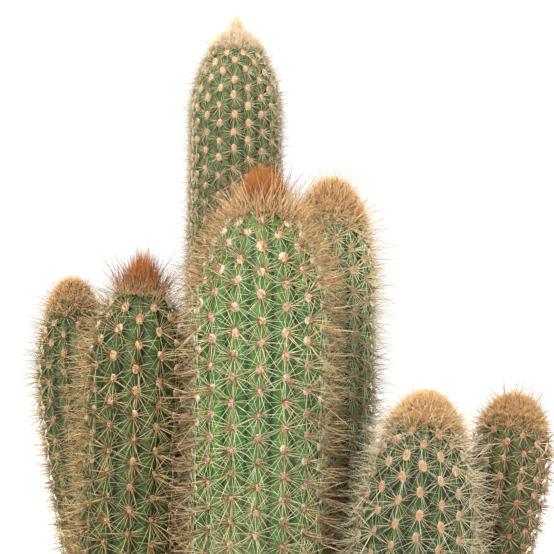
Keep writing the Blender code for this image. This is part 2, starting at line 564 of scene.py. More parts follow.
def areole_point(graph: GrowthTree, stem_point: bpy.types.NodeTree, number: Field) -> tuple[Any, Any, Field]:
    """Where an areole sits: on the crest of its rib, half a step lower on every second rib.

    Args:
        graph: The tree, which has the inputs AREOLE_FLOATS and AREOLE_INTS.
        stem_point: The group that finds a point of the skin.
        number: The areole's number, counted round the stem first.

    Returns:
        Its position, its turn and its distance from the tip.
    """
    ribs = graph["Ribs"]
    rib = graph.math("MODULO", number, ribs)
    row = graph.whole(number / ribs)
    stagger = graph.math("MODULO", rib, 2.0) * 0.5
    drift = graph.random(-ROW_DRIFT, ROW_DRIFT, number, graph["Seed"])
    distance = graph["First"] + (row + stagger + drift) * graph["Pitch"]
    sway = graph.random(-RIB_SWAY, RIB_SWAY, number, graph["Seed"] + 1.0)
    angle = (rib + 0.5 + sway) / ribs * math.tau + graph["Turn"]
    point = graph.stem_point(stem_point, distance, angle)
    return point.outputs["Position"], point.outputs["Turn"], distance


def areole_wool_tree(stem_point: bpy.types.NodeTree) -> bpy.types.NodeTree:
    """The tree that sets a woolly oval cushion on every areole.

    Args:
        stem_point: The group that finds a point of the skin.

    Returns:
        The tree. Cushions shrink down the stem, to Old, a share of their size, at Fade from the tip.
    """
    graph = GrowthTree.of("Areole Wool", (*AREOLE_FLOATS, "Long", "Wide", "High", "Old", "Fade"),
                          AREOLE_INTS)
    number = graph.index()
    position, turn, distance = areole_point(graph, stem_point, number)
    points = graph.points(graph["Ribs"] * graph["Rows"], position)
    age = graph.ramp(distance, 0.0, graph["Fade"])
    size = 1.0 - age * (1.0 - graph["Old"])
    size = size * graph.random(0.85, 1.15, number, graph["Seed"] + 2.0)
    scale = graph.xyz(graph["Long"] * size, graph["Wide"] * size, graph["High"] * size)
    ball = graph.get("GeometryNodeMeshUVSphere", None, {"Segments": 9, "Rings": 6, "Radius": 1.0})
    lumps = graph.noise(2.2, detail=2.0, roughness=0.6, vector=graph.position())
    ball = graph.moved(ball, graph.scaled(graph.position(), (lumps - 0.5) * 0.7))
    ball = graph.sided(ball, graph.ramp(graph.part(graph.position(), "Z"), 0.0, 1.0, kind="LINEAR"))
    spun = graph.turned(turn, 0.0, 0.0, graph.random(-0.35, 0.35, number, graph["Seed"] + 3.0))
    tone = graph.random(0.0, 0.6, number, graph["Seed"] + 4.0) + age * 0.4
    graph.finished(toned(graph, graph.planted(points, ball, spun, scale), tone))
    return graph.tree


def areole_spines_tree(stem_point: bpy.types.NodeTree) -> bpy.types.NodeTree:
    """The tree that sets a cluster of spines on every areole.

    Args:
        stem_point: The group that finds a point of the skin.

    Returns:
        The tree. Lift is each spine's angle above the skin, in radians, Seat the distance of its root from
        the areole's middle, and Droop how much longer the ones that point down are. Spines grow from Young,
        a share of their length, at the tip to their full length at the shoulder.
    """
    graph = GrowthTree.of("Areole Spines",
                          (*AREOLE_FLOATS, "Length", "Length Spread", "Lift", "Lift Spread", "Droop",
                           "Thickness", "Bend", "Seat", "Young"),
                          (*AREOLE_INTS, "Per Areole", "Sides", "Segments"))
    seed = graph["Seed"]
    count = graph["Per Areole"]
    index = graph.index()
    areole = graph.whole(index / count)
    position, turn, distance = areole_point(graph, stem_point, areole)
    step = graph.math("MODULO", index, count)
    around = (step + graph.random(-0.42, 0.42, index, seed + 5.0)) / count * math.tau
    around = around + graph.random(0.0, 1.0, areole, seed + 6.0)
    lift = graph["Lift"] + graph.random(-1.0, 1.0, index, seed + 7.0) * graph["Lift Spread"]
    spin = graph.random(0.0, math.tau, index, seed + 8.0)
    lean = graph.turned(graph.turned(turn, 0.0, math.pi / 2 - lift, around), 0.0, 0.0, spin)
    ring = graph.xyz(graph["Seat"] * graph.math("COSINE", around),
                     graph["Seat"] * graph.math("SINE", around), 0.0)
    seat = graph.get("FunctionNodeRotateVector", None, {"Vector": ring, "Rotation": turn})
    points = graph.points(graph["Ribs"] * graph["Rows"] * count,
                          graph.vector("ADD", position, seat))
    length = graph["Length"] * (1.0 + graph["Droop"] * graph.math("COSINE", around))
    length = length * (1.0 + graph.random(-1.0, 1.0, index, seed + 9.0) * graph["Length Spread"])
    length = length * graph.ramp(distance, 0.0, graph["Shoulder"], graph["Young"], 1.0)
    thick = graph["Thickness"] * graph.random(0.75, 1.2, index, seed + 10.0)
    spines = graph.planted(points, spine_shape(graph), lean, graph.xyz(thick, thick, length))
    graph.finished(toned(graph, spines, graph.random(0.0, 1.0, index, seed + 11.0)))
    return graph.tree


def crown_spines_tree(stem_point: bpy.types.NodeTree) -> bpy.types.NodeTree:
    """The tree that packs spines or wool hairs round the growing tip, in a golden-angle spiral.

    Args:
        stem_point: The group that finds a point of the skin.

    Returns:
        The tree. Upright draws the spines from straight out of the skin towards the axis, Scatter throws
        them about, and Edge is the length at the crown's edge as a share of the length in its middle.
    """
    graph = GrowthTree.of("Crown Spines",
                          (*STEM_FLOATS, "Start", "Reach", "Length", "Length Spread", "Edge", "Upright",
                           "Scatter", "Thickness", "Bend"),
                          ("Count", "Sides", "Segments", "Seed"))
    seed = graph["Seed"]
    index = graph.index()
    share = (index + 0.5) / graph["Count"]
    reach = graph["Reach"] - graph["Start"]
    distance = graph["Start"] + reach * share
    distance = distance * graph.random(0.85, 1.15, index, seed + 1.0)
    angle = index * GOLDEN_ANGLE + graph.random(-0.2, 0.2, index, seed + 2.0)
    point = graph.stem_point(stem_point, distance, angle)
    up = graph.scaled(point.outputs["Down"], -1.0)
    upright = graph["Upright"]
    out = graph.scaled(point.outputs["Outward"], 1.0 - upright)
    aim = graph.vector("ADD", out, graph.scaled(up, upright))
    stray = graph.random_vector((-1.0, -1.0, -1.0), (1.0, 1.0, 1.0), index, seed + 3.0)
    aim = graph.vector("ADD", aim, graph.scaled(stray, graph["Scatter"]))
    turn = graph.get("FunctionNodeAlignRotationToVector", {"axis": "Z"}, {"Vector": aim})
    spun = graph.turned(turn, 0.0, 0.0, graph.random(0.0, math.tau, index, seed + 4.0))
    length = graph["Length"] * (1.0 - share * (1.0 - graph["Edge"]))
    length = length * (1.0 + graph.random(-1.0, 1.0, index, seed + 5.0) * graph["Length Spread"])
    thick = graph["Thickness"] * graph.random(0.7, 1.2, index, seed + 6.0)
    points = graph.points(graph["Count"], point.outputs["Position"])
    hairs = graph.planted(points, spine_shape(graph), spun, graph.xyz(thick, thick, length))
    graph.finished(toned(graph, hairs, graph.random(0.0, 1.0, index, seed + 7.0)))
    return graph.tree


def crumbs_tree() -> bpy.types.NodeTree:
    """The tree that strews crumbs or grit over the guide mesh's upward faces.

    Returns:
        The tree. Each crumb is a small lumpy stone, turned and sized at random.
    """
    graph = GrowthTree.of("Crumbs", ("Density", "Size", "Size Spread", "Sink", "Flat"), ("Seed",))
    seed = graph["Seed"]
    upward = graph.math("GREATER_THAN", graph.part(graph.get("GeometryNodeInputNormal"), "Z"), 0.5)
    strewn = graph.node("GeometryNodeDistributePointsOnFaces", {"distribute_method": "RANDOM"},
                        {"Mesh": graph["Geometry"], "Selection": upward,
                         "Density": graph["Density"], "Seed": seed})
    index = graph.index()
    spread = graph["Size Spread"]
    size = graph["Size"] * (1.0 + graph.random(-1.0, 1.0, index, seed + 1.0) * spread)
    turn = graph.random_vector((-0.5, -0.5, 0.0), (0.5, 0.5, math.tau), index, seed + 2.0)
    depth = size * graph["Sink"] * graph.random(-1.0, 0.6, index, seed + 3.0)
    sunk = graph.moved(strewn.outputs["Points"], graph.xyz(0.0, 0.0, depth))
    stone = graph.get("GeometryNodeMeshIcoSphere", None, {"Radius": 1.0, "Subdivisions": 1})
    lumps = graph.noise(1.1, detail=2.0, roughness=0.7, vector=graph.position())
    stone = graph.moved(stone, graph.scaled(graph.position(), (lumps - 0.5) * 1.3))
    stone = graph.sided(stone, graph.ramp(lumps, 0.25, 0.75))
    scale = graph.xyz(size, size * graph.random(0.6, 1.0, index, seed + 4.0), size * graph["Flat"])
    stones = graph.planted(sunk, stone, turn, scale)
    graph.finished(toned(graph, stones, graph.random(0.0, 1.0, index, seed + 5.0)), smooth=False)
    return graph.tree


def soil_bed_tree() -> bpy.types.NodeTree:
    """The tree that makes the top of a flat soil bed lumpy.

    Returns:
        The tree. Height is the depth of the lumps, which fade out at the bed's Edge.
    """
    graph = GrowthTree.of("Soil Bed", ("Height", "Edge"), ("Seed",))
    up = graph.part(graph.get("GeometryNodeInputNormal"), "Z")
    shifted = graph.vector("ADD", graph.position(), graph.xyz(graph["Seed"], 0.0, 0.0))
    lumps = graph.noise(95.0, detail=4.0, roughness=0.6, vector=shifted)
    waves = graph.noise(22.0, detail=2.0, roughness=0.5, vector=shifted)
    reach = graph.length(graph.vector("MULTIPLY", graph.position(), (1.0, 1.0, 0.0)))
    fade = graph.ramp(reach / graph["Edge"], 0.93, 1.0, 1.0, 0.0) * graph.ramp(up, 0.5, 0.8)
    rise = (lumps + waves - 1.0) * fade * graph["Height"]
    graph.finished(graph.moved(graph["Geometry"], graph.xyz(0.0, 0.0, rise)))
    return graph.tree


# Finishes


def paint(color: Color) -> tuple[float, float, float, float]:
    """Give a colour as a colour socket takes it.

    Args:
        color: Its red, green and blue display values, 0 to 255.

    Returns:
        The same colour as linear light, with full alpha.
    """
    shares = [value / 255 for value in color]
    light = [share / 12.92 if share <= 0.04045 else ((share + 0.055) / 1.055) ** 2.4 for share in shares]
    return (light[0], light[1], light[2], 1.0)


class Surface(Graph):
    """A material with one Principled surface."""

    def __init__(self, name: str, **constants: float) -> None:
        """Make the material.

        Args:
            name: The material's name.
            constants: Values of the surface's own sockets, with _ for a space in the socket's name.
        """
        self.material = bpy.data.materials.new(name)
        self.material.use_nodes = True
        super().__init__(self.material.node_tree)
        self.tree.nodes.clear()
        self.shader = self.node("ShaderNodeBsdfPrincipled")
        end = self.node("ShaderNodeOutputMaterial")
        self.tree.links.new(self.shader.outputs["BSDF"], end.inputs["Surface"])
        for label, value in constants.items():
            self.shader.inputs[label.replace("_", " ")].default_value = value

    def coords(self) -> Field:
        """Object coordinates."""
        return self.get("ShaderNodeTexCoord", output="Object")

    def attribute(self, name: str) -> Field:
        """A named attribute of the mesh, as a number."""
        return self.get("ShaderNodeAttribute", {"attribute_name": name}, output="Fac")

    def stretched(self, scales: tuple[float, float, float], roughness: float = 0.6) -> Field:
        """Noise over Object coordinates, with its own scale along each axis."""
        return self.noise(1.0, roughness=roughness, vector=self.vector("MULTIPLY", self.coords(), scales))

    def bump(self, height: Any, strength: float, distance: float) -> Field:
        """A Bump node's normal."""
        return self.get("ShaderNodeBump", None,
                        {"Height": height, "Strength": strength, "Distance": distance})

    def mottled(self, effects: "SharedEffects", scale: float) -> Field:
        """The shared mottling at a scale, over Object coordinates."""
        return self.get("ShaderNodeGroup", {"node_tree": effects.mottling},
                        {"Vector": self.coords(), "Scale": scale}, "Mask")

    def grained(self, effects: "SharedEffects", scale: float, pits: float) -> Field:
        """The shared grain at a scale, over Object coordinates."""
        return self.get("ShaderNodeGroup", {"node_tree": effects.grain},
                        {"Vector": self.coords(), "Scale": scale, "Pits": pits}, "Height")

    def dress(self, color: Any, roughness: Any, normal: Any = None) -> bpy.types.Material:
        """Feed the surface.

        Args:
            color: Its base colour.
            roughness: Its roughness.
            normal: Its normal, where it has relief.

        Returns:
            The finished material.
        """
        self.feed(self.shader.inputs["Base Color"], color)
        self.feed(self.shader.inputs["Roughness"], roughness)
        if normal is not None:
            self.feed(self.shader.inputs["Normal"], normal)
        return self.material


class SharedEffects:
    """The effects that several finishes use, each a node group built once."""

    def __init__(self) -> None:
        """Build the groups."""
        self.mottling = self._mottling()
        self.grain = self._grain()

    @staticmethod
    def _mottling() -> bpy.types.NodeTree:
        """Cloudy patches over finer ones, from 0 to 1.

        Returns:
            The group: Vector and Scale in, Mask out.
        """
        graph = GroupGraph("Mottling", "ShaderNodeTree", {"Vector": "Vector", "Scale": "Float"},
                           {"Mask": "Float"})
        vector = graph.scaled(graph["Vector"], graph["Scale"])
        clouds = graph.noise(1.0, detail=3.0, roughness=0.55, vector=vector)
        flecks = graph.noise(5.3, detail=4.0, roughness=0.6, vector=vector)
        graph.output("Mask", graph.ramp(clouds * 0.65 + flecks * 0.35, 0.3, 0.7))
        return graph.tree

    @staticmethod
    def _grain() -> bpy.types.NodeTree:
        """Fine grain with scattered pits, as a height from 0 to 1.

        Returns:
            The group: Vector, Scale and Pits in, Height out.
        """
        graph = GroupGraph("Fine Grain", "ShaderNodeTree",
                           {"Vector": "Vector", "Scale": "Float", "Pits": "Float"}, {"Height": "Float"})
        vector = graph.scaled(graph["Vector"], graph["Scale"])
        grain = graph.noise(1.0, detail=5.0, roughness=0.65, vector=vector)
        cell = graph.get("ShaderNodeTexVoronoi", {"feature": "F1"}, {"Vector": vector, "Scale": 0.45},
                         "Distance")
        pits = graph.ramp(cell, 0.0, 0.22, 1.0, 0.0)
        graph.output("Height", grain - pits * graph["Pits"])
        return graph.tree


@dataclass(frozen=True)
class Skin:
    """Waxy green skin with painted shade in the grooves, bloomed grey on the crests and corky at its foot.
    """

    # The colour at the bottom of the grooves, which is painted shade
    painted_groove_shade: Color
    flank: Color
    crest: Color
    bloom: float = 0.6
    cork: Color = (146, 126, 92)
    cork_from: float = 0.14
    cork_to: float = 0.24

    def material(self, name: str, effects: SharedEffects) -> bpy.types.Material:
        """Make the material.

        Args:
            name: Its name.
            effects: The shared groups.

        Returns:
            The material. It reads the skin's rib and along.
        """
        surface = Surface(name, Coat_Weight=0.04, Coat_Roughness=0.4, Specular_IOR_Level=0.4)
        rib = surface.attribute("rib")
        along = surface.attribute("along")
        clouds = surface.mottled(effects, 48.0)
        flecks = surface.mottled(effects, 330.0)
        # Painted shade: the skin darkens towards the bottom of each groove
        color = surface.mix(surface.ramp(rib, 0.08, 0.72), paint(self.painted_groove_shade), paint(self.flank))
        bloom = surface.ramp(rib, 0.5, 1.0) * self.bloom * (0.55 + clouds * 0.45)
        color = surface.mix(bloom, color, paint(self.crest))
        streaks = surface.stretched((900.0, 900.0, 160.0))
        color = surface.mix(surface.ramp(streaks, 0.5, 0.72, 0.0, 0.5), color, paint(self.crest))
        shade = surface.ramp(clouds * 0.4 + flecks * 0.6, 0.0, 1.0, 0.55, 1.35, "LINEAR")
        color = surface.scaled(color, shade)
        color = surface.mix(surface.ramp(along, 0.0, 0.03, 0.25, 0.0), color, paint(self.crest))
        foot = surface.ramp(along + clouds * 0.05, self.cork_from, self.cork_to)
        color = surface.mix(foot * (0.35 + flecks * 0.5), color, paint(self.cork))
        grain = surface.grained(effects, 1500.0, 0.4)
        creases = surface.stretched((90.0, 90.0, 700.0), 0.5)
        height = grain * 0.5 + creases * surface.ramp(along, 0.02, 0.2, 0.3, 1.2)
        roughness = surface.ramp(flecks + foot, 0.0, 1.6, 0.52, 0.85, "LINEAR")
        return surface.dress(color, roughness, surface.bump(height, 0.5, 0.0008))


@dataclass(frozen=True)
class Gradient:
    """A finish that runs along every spine, hair, cushion or crumb, from its root to its tip.

    It reads nothing but the piece's own map, in which U is the tone, from pale to deep, and V runs from root
    to tip.
    """

    root: Color
    pale: Color
    deep: Color
    tip: Color
    root_to: float = 0.12
    tip_from: float = 0.7
    roughness: float = 0.5
    sheen: float = 0.0

    def material(self, name: str) -> bpy.types.Material:
        """Make the material.

        Args:
            name: Its name.

        Returns:
            The material.
        """
        surface = Surface(name, Sheen_Weight=self.sheen, Sheen_Roughness=0.6, Specular_IOR_Level=0.35)
        chart = surface.get("ShaderNodeUVMap", {"uv_map": SPINE_UV})
        tone = surface.part(chart, "X")
        along = surface.part(chart, "Y")
        shaft = surface.mix(tone, paint(self.pale), paint(self.deep))
        color = surface.mix(surface.ramp(along, 0.0, self.root_to), paint(self.root), shaft)
        worn = surface.ramp(along + tone * 0.12, self.tip_from, 1.0)
        color = surface.mix(worn, color, paint(self.tip))
        return surface.dress(color, self.roughness)


@dataclass(frozen=True)
class Felt:
    """Matted wool under the hairs of a crown."""

    light: Color
    dark: Color

    def material(self, name: str, effects: SharedEffects) -> bpy.types.Material:
        """Make the material.

        Args:
            name: Its name.
            effects: The shared groups.

        Returns:
            The material.
        """
        surface = Surface(name, Sheen_Weight=0.4, Sheen_Roughness=0.5, Specular_IOR_Level=0.15)
        mats = surface.mottled(effects, 420.0)
        grain = surface.grained(effects, 2600.0, 0.9)
        color = surface.mix(mats, paint(self.dark), paint(self.light))
        return surface.dress(color, 0.95, surface.bump(mats + grain * 0.6, 0.8, 0.001))


@dataclass(frozen=True)
class Clay:
    """Fired terracotta: grainy, ringed by the wheel, and bloomed with salts near its foot and rim."""

    body: Color = (178, 104, 72)
    dark: Color = (140, 76, 52)
    salt: Color = (214, 186, 162)

    def material(self, name: str, effects: SharedEffects) -> bpy.types.Material:
        """Make the material.

        Args:
            name: Its name.
            effects: The shared groups.

        Returns:
            The material.
        """
        surface = Surface(name, Specular_IOR_Level=0.3)
        height = surface.part(surface.coords(), "Z")
        clouds = surface.mottled(effects, 16.0)
        flecks = surface.mottled(effects, 210.0)
        color = surface.mix(clouds * 0.7, paint(self.body), paint(self.dark))
        color = surface.mix(flecks * 0.35, color, paint(self.dark))
        foot = surface.ramp(height + clouds * 0.05, 0.02, 0.10, 1.0, 0.0)
        rim = surface.ramp(height - clouds * 0.02, 0.186, 0.216)
        salts = surface.math("MAXIMUM", foot, rim * 0.6) * surface.ramp(flecks, 0.25, 0.8) * 0.75
        color = surface.mix(salts, color, paint(self.salt))
        grain = surface.grained(effects, 900.0, 1.2)
        rings = surface.stretched((6.0, 6.0, 620.0))
        relief = grain * 0.6 + rings * 0.9
        roughness = surface.ramp(salts + clouds * 0.2, 0.0, 1.0, 0.78, 0.95, "LINEAR")
        return surface.dress(color, roughness, surface.bump(relief, 0.45, 0.0008))


@dataclass(frozen=True)
class Earth:
    """Dark gritty potting soil between the crumbs."""

    damp: Color = (58, 42, 32)
    dry: Color = (104, 82, 62)

    def material(self, name: str, effects: SharedEffects) -> bpy.types.Material:
        """Make the material.

        Args:
            name: Its name.
            effects: The shared groups.

        Returns:
            The material.
        """
        surface = Surface(name, Specular_IOR_Level=0.2)
        patches = surface.mottled(effects, 60.0)
        crumbs = surface.mottled(effects, 500.0)
        color = surface.mix(patches * 0.5 + crumbs * 0.5, paint(self.damp), paint(self.dry))
        grain = surface.grained(effects, 1100.0, 1.0)
        return surface.dress(color, 0.96, surface.bump(crumbs + grain, 0.8, 0.0015))


# Stems


@dataclass(frozen=True)
class StemAxis:
    """The line down the middle of a stem, tip first, read off its frame solid.

    The solid is cut level in even steps, sections of them. The cuts below the crown fix the line, and those
    above the foot too fix the radius. The points start close together at the tip.
    """

    points: tuple[Vector, ...]
    radius: float
    sections: ClassVar[int] = 24
    crown_sections: ClassVar[int] = 4
    foot_sections: ClassVar[int] = 4
    tip_weight: ClassVar[int] = 3
    curve_degree: ClassVar[int] = 2
    tip_spacing: ClassVar[float] = 0.0003
    spacing_growth: ClassVar[float] = 0.3
    crown_points: ClassVar[int] = 60
    lean_point: ClassVar[int] = 12

    @classmethod
    def of(cls, node: str, spacing: float) -> "StemAxis":
        """Read a frame solid's axis.

        Args:
            node: The frame node of the stem.
            spacing: The greatest distance between two points.

        Returns:
            The axis and the radius over the ribs.
        """
        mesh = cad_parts[node].data
        low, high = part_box(node)
        tip = max((vertex.co for vertex in mesh.vertices), key=lambda place: place.z)
        heights = [low.z + (high.z - low.z) * step / cls.sections
                   for step in range(1, cls.sections - cls.crown_sections)]
        middles = [cls._middle(mesh, height) for height in heights]
        radius = max(cls._reach(mesh, middle) for middle in middles[cls.foot_sections:])
        known = [*[tip] * cls.tip_weight, *middles]
        levels = [place.z for place in known]
        across = [numpy.polyfit(levels, [place[axis] for place in known], cls.curve_degree)
                  for axis in (0, 1)]
        heights = [high.z]
        while heights[-1] > low.z:
            gone = high.z - heights[-1]
            drop = min(spacing, cls.tip_spacing + cls.spacing_growth * gone)
            heights.append(max(low.z, heights[-1] - drop))
        points = [Vector((*(float(numpy.polyval(curve, height)) for curve in across), height))
                  for height in heights]
        return cls(tuple(points), radius)

    @staticmethod
    def _crossings(mesh: bpy.types.Mesh, height: float) -> list[tuple[Vector, Vector]]:
        """Find the lines in which a mesh's triangles cross a level plane.

        Args:
            mesh: The mesh.
            height: The plane's height.

        Returns:
            The two ends of each line.
        """
        lines = []
        for face in mesh.polygons:
            corners = [mesh.vertices[place].co for place in face.vertices]
            pairs = zip(corners, corners[1:] + corners[:1])
            cut = [first.lerp(last, (height - first.z) / (last.z - first.z)) for first, last in pairs
                   if (first.z - height) * (last.z - height) < 0]
            if len(cut) == 2:
                lines.append((cut[0], cut[1]))
        return lines

    @classmethod
    def _middle(cls, mesh: bpy.types.Mesh, height: float) -> Vector:
        """Find the middle of a mesh's section.

        Args:
            mesh: The mesh.
            height: The section's height.

        Returns:
            The middle of its outline, in which every length counts alike.
        """
        lines = cls._crossings(mesh, height)
        whole = sum((first - last).length for first, last in lines)
        middle = sum(((first + last) * (first - last).length / 2 for first, last in lines), Vector()) / whole
        return Vector((middle.x, middle.y, height))

    @classmethod
    def _reach(cls, mesh: bpy.types.Mesh, middle: Vector) -> float:
        """Give the greatest distance of a mesh's section from its middle."""
        return max((first - middle).length for first, _ in cls._crossings(mesh, middle.z))

    @property
    def length(self) -> float:
        """The length of the axis."""
        return sum((first - last).length for first, last in zip(self.points, self.points[1:]))

    def guide(self, name: str) -> bpy.types.Mesh:
        """Give the axis as a chain of edges."""
        return chain(name, self.points)

    def raised(self, name: str, rise: float) -> bpy.types.Mesh:
        """Give the top of the axis, shifted up for the felt and the hairs of a crown.

        Args:
            name: The mesh's name.
            rise: How far above the tip it starts.

        Returns:
            A chain of edges, top first.
        """
        lean = (self.points[0] - self.points[self.lean_point]).normalized() * rise
        return chain(name, [point + lean for point in self.points[:self.crown_points]])


def chain(name: str, points: Sequence[Vector]) -> bpy.types.Mesh:
    """Join points by edges.

    Args:
        name: The mesh's name.
        points: The points, in order.

    Returns:
        The mesh, which has no faces.
    """
    mesh = bpy.data.meshes.new(name)
    edges = [(place, place + 1) for place in range(len(points) - 1)]
    mesh.from_pydata([tuple(point) for point in points], edges, [])
    return mesh


@dataclass(frozen=True)
class Nursery:
    """What every stem grows with: the shared effects and the Geometry Nodes trees."""

    effects: SharedEffects
    skin: bpy.types.NodeTree
    wool: bpy.types.NodeTree
    spines: bpy.types.NodeTree
    crown: bpy.types.NodeTree

    @classmethod
    def of(cls, effects: SharedEffects) -> "Nursery":
        """Build the trees, beside the shared effects."""
        point = point_on_stem_tree()
        return cls(effects, ribbed_skin_tree(), areole_wool_tree(point), areole_spines_tree(point),
                   crown_spines_tree(point))


class Rank(Enum):
    """The kinds of spine on an areole, and their number of faces."""

    RADIAL = (3, 2)
    CENTRAL = (4, 3)
    BRISTLE = (3, 1)

    @property
    def sides(self) -> int:
        """Faces round the spine."""
        return self.value[0]

    @property
    def segments(self) -> int:
        """Faces along the spine."""
        return self.value[1]


@dataclass(frozen=True)
class SpineSet:
    """One kind of spine that every areole of a stem bears. Angles are in degrees."""

    rank: Rank
    count: int
    length: float
    finish: Gradient
    lift: float
    lift_spread: float
    thickness: float
    spread: float = 0.15
    droop: float = 0.0
    bend: float = 0.08
    seat: float = 0.0008
    young: float = 1.0

    def inputs(self) -> dict[str, float]:
        """Give what the tree of areole spines takes from the set."""
        return {
            "Per Areole": self.count, "Length": self.length, "Length Spread": self.spread,
            "Lift": math.radians(self.lift), "Lift Spread": math.radians(self.lift_spread),
            "Droop": self.droop, "Thickness": self.thickness, "Seat": self.seat, "Young": self.young,
            "Bend": self.bend / self.thickness * self.length, "Sides": self.rank.sides,
            "Segments": self.rank.segments,
        }


@dataclass(frozen=True)
class CrownSet:
    """One layer of hairs or spines on the growing tip, from start to reach below the top.

    Edge is the length at reach as a share of the length at start.
    """

    label: str
    count: int
    length: float
    finish: Gradient
    thickness: float
    reach: float
    start: float = 0.0
    spread: float = 0.2
    edge: float = 0.8
    upright: float = 0.3
    scatter: float = 0.25
    bend: float = 0.1
    segments: int = 2
    sides: int = 3

    def inputs(self) -> dict[str, float]:
        """Give what the tree of crown spines takes from the layer."""
        return {
            "Count": self.count, "Start": self.start, "Reach": self.reach, "Length": self.length,
            "Length Spread": self.spread, "Edge": self.edge, "Upright": self.upright,
            "Scatter": self.scatter, "Thickness": self.thickness,
            "Bend": self.bend / self.thickness * self.length, "Sides": self.sides,
            "Segments": self.segments,
        }


@dataclass(frozen=True)
class Cap:
    """The felt on a growing tip: how far down it reaches, and how far it stands above the skin."""

    depth: float
    rise: float
    felt: Felt
    girth: float = 1.02


@dataclass(frozen=True)
class Wool:
    """The woolly cushion of an areole: half its length, half its width and its height.

    Old is the size of the oldest ones, as a share, and fade the distance from the tip where it is reached.
    """

    finish: Gradient
    long: float
    wide: float
    high: float
    old: float = 0.75
    fade: float = 0.12


@dataclass(frozen=True)
class Stem:
    """One column of the clump, with its skin, areoles, spines and crown.

    Its rows of areoles stand a pitch apart, from first below the tip down to the bare foot in the soil.
    """

    name: str
    ribs: int
    shoulder: float
    taper: float
    pitch: float
    first: float
    skin: Skin
    wool: Wool
    spines: tuple[SpineSet, ...]
    cap: Cap
    crown: tuple[CrownSet, ...]
    seed: int
    turn: float = 0.0
    rib_depth: float = 0.10
    tubercle: float = 0.0008
    unevenness: float = 0.05
    bare_foot: float = 0.022
    ring_spacing: float = 0.0018
    points_per_rib: int = 10

    def build(self, nursery: Nursery) -> None:
        """Grow the whole stem.

        Args:
            nursery: The trees and the shared effects.
        """
        axis = StemAxis.of(f"stem_{self.name}", self.ring_spacing)
        guide = axis.guide(f"axis_{self.name}")
        shape = {"Radius": axis.radius, "Shoulder": self.shoulder, "Taper": self.taper}
        self._grow_skin(nursery, guide, shape)
        rows = int((axis.length - self.first - self.bare_foot) / self.pitch) + 1
        rule = {**shape, "Ribs": self.ribs, "Rows": rows, "Pitch": self.pitch, "First": self.first,
                "Turn": math.radians(self.turn), "Seed": self.seed}
        self._grow_wool(nursery, guide, rule)
        for spine_set in self.spines:
            self._grow_spines(nursery, guide, rule, spine_set)
        self._grow_crown(nursery, axis.raised(f"crown_axis_{self.name}", self.cap.rise), shape)

    def _piece(self, label: str) -> str:
        """Give one of the stem's pieces its name."""
        return f"{label}_{self.name}"

    def _grow_skin(self, nursery: Nursery, guide: bpy.types.Mesh, shape: dict[str, float]) -> None:
        """Grow the ribbed skin.

        Args:
            nursery: The trees and the shared effects.
            guide: The axis.
            shape: The inputs that shape the stem.
        """
        name = self._piece("ribbed_skin")
        piece = grown(name, nursery.skin, {
            **shape, "Ribs": self.ribs, "Points Per Rib": self.points_per_rib, "Rib Depth": self.rib_depth,
            "Pitch": self.pitch, "First": self.first, "Tubercle": self.tubercle,
            "Unevenness": self.unevenness, "Turn": math.radians(self.turn), "Stop": WHOLE_STEM,
            "Material": self.skin.material(name, nursery.effects),
        }, guide)
        place(piece, f"skin_{self.name}", f"stem_{self.name}")

    def _grow_wool(self, nursery: Nursery, guide: bpy.types.Mesh, rule: dict[str, float]) -> None:
        """Set the areoles' cushions on the skin.

        Args:
            nursery: The trees and the shared effects.
            guide: The axis.
            rule: The inputs that shape the stem and place its areoles.
        """
        name = self._piece("areole_wool")
        wool = self.wool
        piece = grown(name, nursery.wool, {
            **rule, "Radius": rule["Radius"] + self.tubercle, "Long": wool.long, "Wide": wool.wide,
            "High": wool.high, "Old": wool.old, "Fade": wool.fade, "Material": wool.finish.material(name),
        }, guide)
        place(piece, f"spines_{self.name}")

    def _grow_spines(self, nursery: Nursery, guide: bpy.types.Mesh, rule: dict[str, float],
                     spine_set: SpineSet) -> None:
        """Set one kind of spine on every areole.

        Args:
            nursery: The trees and the shared effects.
            guide: The axis.
            rule: The inputs that shape the stem and place its areoles.
            spine_set: The kind of spine.
        """
        name = self._piece(f"{spine_set.rank.name.lower()}_spines")
        piece = grown(name, nursery.spines, {
            **rule, **spine_set.inputs(), "Seed": self.seed + 100 * spine_set.rank.segments,
            "Radius": rule["Radius"] + self.tubercle + self.wool.high * WOOL_SEAT,
            "Material": spine_set.finish.material(name),
        }, guide)
        place(piece, f"spines_{self.name}")

    def _grow_crown(self, nursery: Nursery, guide: bpy.types.Mesh, shape: dict[str, float]) -> None:
        """Cap the growing tip with felt and its layers of hair and spines.

        Args:
            nursery: The trees and the shared effects.
            guide: The raised axis.
            shape: The inputs that shape the stem.
        """
        name = self._piece("crown_felt")
        felt = grown(name, nursery.skin, {
            **shape, "Radius": shape["Radius"] * self.cap.girth, "Ribs": 8, "Points Per Rib": 6,
            "Rib Depth": 0.0, "Pitch": 1.0, "First": 0.0, "Tubercle": 0.0, "Unevenness": 0.0, "Turn": 0.0,
            "Stop": self.cap.depth, "Material": self.cap.felt.material(name, nursery.effects),
        }, guide)
        place(felt, f"spines_{self.name}", f"crown_{self.name}")
        for number, layer in enumerate(self.crown, start=1):
            name = self._piece(f"crown_{layer.label}")
            piece = grown(name, nursery.crown, {
                **shape, **layer.inputs(), "Seed": self.seed + 1000 * number,
                "Material": layer.finish.material(name),
            }, guide)
            place(piece, f"spines_{self.name}")


# Pot and soil


